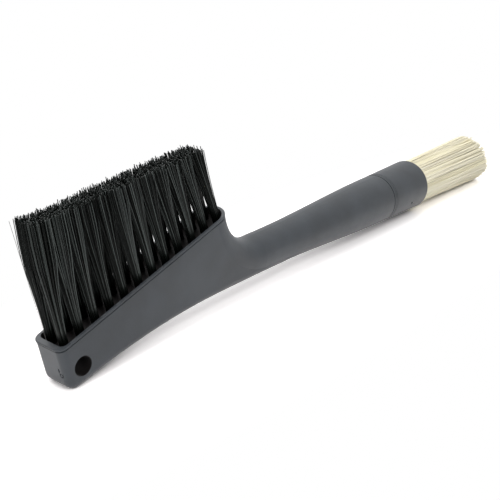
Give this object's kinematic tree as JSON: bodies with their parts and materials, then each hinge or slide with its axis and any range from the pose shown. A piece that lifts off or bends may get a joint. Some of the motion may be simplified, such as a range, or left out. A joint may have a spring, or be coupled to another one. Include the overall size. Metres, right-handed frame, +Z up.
{
  "type": "coffee grinder brush",
  "caption": "Double-ended cleaning brush: long dark tufts stand on a slotted block at one end, a round bundle of natural bristle sits in a collar at the other.",
  "frame": {"origin": "middle of the box round the whole brush, on the surface that it lies on", "axes": "+X from the tufted block to the natural bristle, +Z up, the tufts pointing up"},
  "size_m": [0.2358, 0.0196, 0.0538],
  "materials": {
    "moulded_body": "charcoal moulded plastic with a satin sheen",
    "collar_plastic": "charcoal moulded plastic with a satin sheen",
    "tuft_nylon": "dark nylon filament with a slight sheen",
    "natural_hair": "pale natural bristle",
    "root_resin": "set resin",
    "staple_wire": "drawn wire"
  },
  "bodies": {
    "root": {"handle": "moulded_body", "collar": "collar_plastic", "root_plug": "root_resin", "natural_bristle": "natural_hair", "tuft_staples": "staple_wire", "tuft_near_01": "tuft_nylon", "tuft_near_02": "tuft_nylon", "tuft_near_03": "tuft_nylon", "tuft_near_04": "tuft_nylon", "tuft_near_05": "tuft_nylon", "tuft_near_06": "tuft_nylon", "tuft_near_07": "tuft_nylon", "tuft_near_08": "tuft_nylon", "tuft_near_09": "tuft_nylon", "tuft_near_10": "tuft_nylon", "tuft_near_11": "tuft_nylon", "tuft_near_12": "tuft_nylon", "tuft_far_01": "tuft_nylon", "tuft_far_02": "tuft_nylon", "tuft_far_03": "tuft_nylon", "tuft_far_04": "tuft_nylon", "tuft_far_05": "tuft_nylon", "tuft_far_06": "tuft_nylon", "tuft_far_07": "tuft_nylon", "tuft_far_08": "tuft_nylon", "tuft_far_09": "tuft_nylon", "tuft_far_10": "tuft_nylon", "tuft_far_11": "tuft_nylon", "tuft_far_12": "tuft_nylon"}
  },
  "joints": []
}
